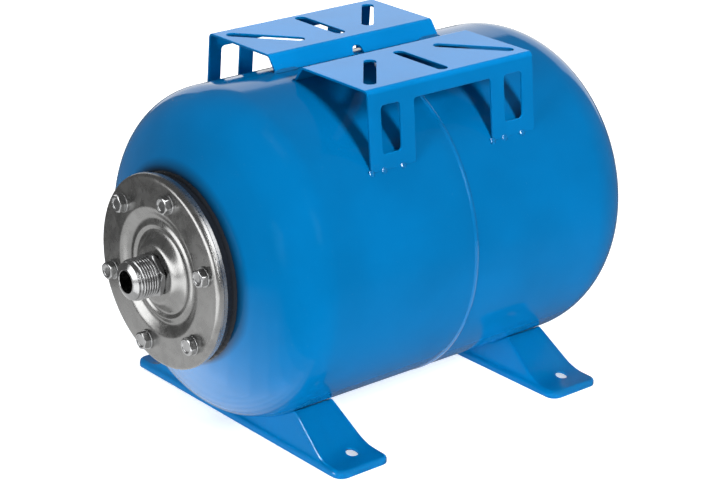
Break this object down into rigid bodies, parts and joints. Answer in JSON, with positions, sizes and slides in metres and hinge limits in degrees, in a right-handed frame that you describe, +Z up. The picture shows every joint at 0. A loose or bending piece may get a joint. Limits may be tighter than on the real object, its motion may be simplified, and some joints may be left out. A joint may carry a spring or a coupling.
{
  "type": "water pressure tank",
  "caption": "Horizontal steel pressure tank with a rubber bladder, a bolted end flange with a threaded water connection, pressed feet and a slotted pump platform.",
  "frame": {"origin": "on the floor, in the middle of the four floor bolt holes", "axes": "+Z up; +X along the tank, from the flanged end with the water connection to the closed end with the air valve; +Y to the left of that direction"},
  "size_m": [0.4769, 0.2776, 0.2943],
  "materials": {
    "blue_paint": "gloss",
    "black_paint": "satin",
    "rubber": "matte",
    "zinc_plate": "satin",
    "plated_steel": "satin",
    "brass": "satin",
    "black_plastic": "matte"
  },
  "bodies": {
    "root": {"front_shell": "blue_paint", "rear_shell": "blue_paint", "seam_weld": "blue_paint", "counter_flange": "black_paint", "counter_flange_weld": "black_paint", "bladder": "rubber", "flange_plate": "zinc_plate", "connector": "plated_steel", "connector_weld": "plated_steel", "flange_bolt_1": "plated_steel", "flange_bolt_2": "plated_steel", "flange_bolt_3": "plated_steel", "flange_bolt_4": "plated_steel", "flange_bolt_5": "plated_steel", "flange_bolt_6": "plated_steel", "flange_washer_1": "plated_steel", "flange_washer_2": "plated_steel", "flange_washer_3": "plated_steel", "flange_washer_4": "plated_steel", "flange_washer_5": "plated_steel", "flange_washer_6": "plated_steel", "front_foot": "blue_paint", "rear_foot": "blue_paint", "right_bracket": "blue_paint", "left_bracket": "blue_paint", "right_bracket_welds": "blue_paint", "left_bracket_welds": "blue_paint", "valve_boss": "blue_paint", "valve_seal": "rubber", "valve_stem": "brass", "valve_core": "brass", "valve_cap": "black_plastic"}
  },
  "joints": []
}
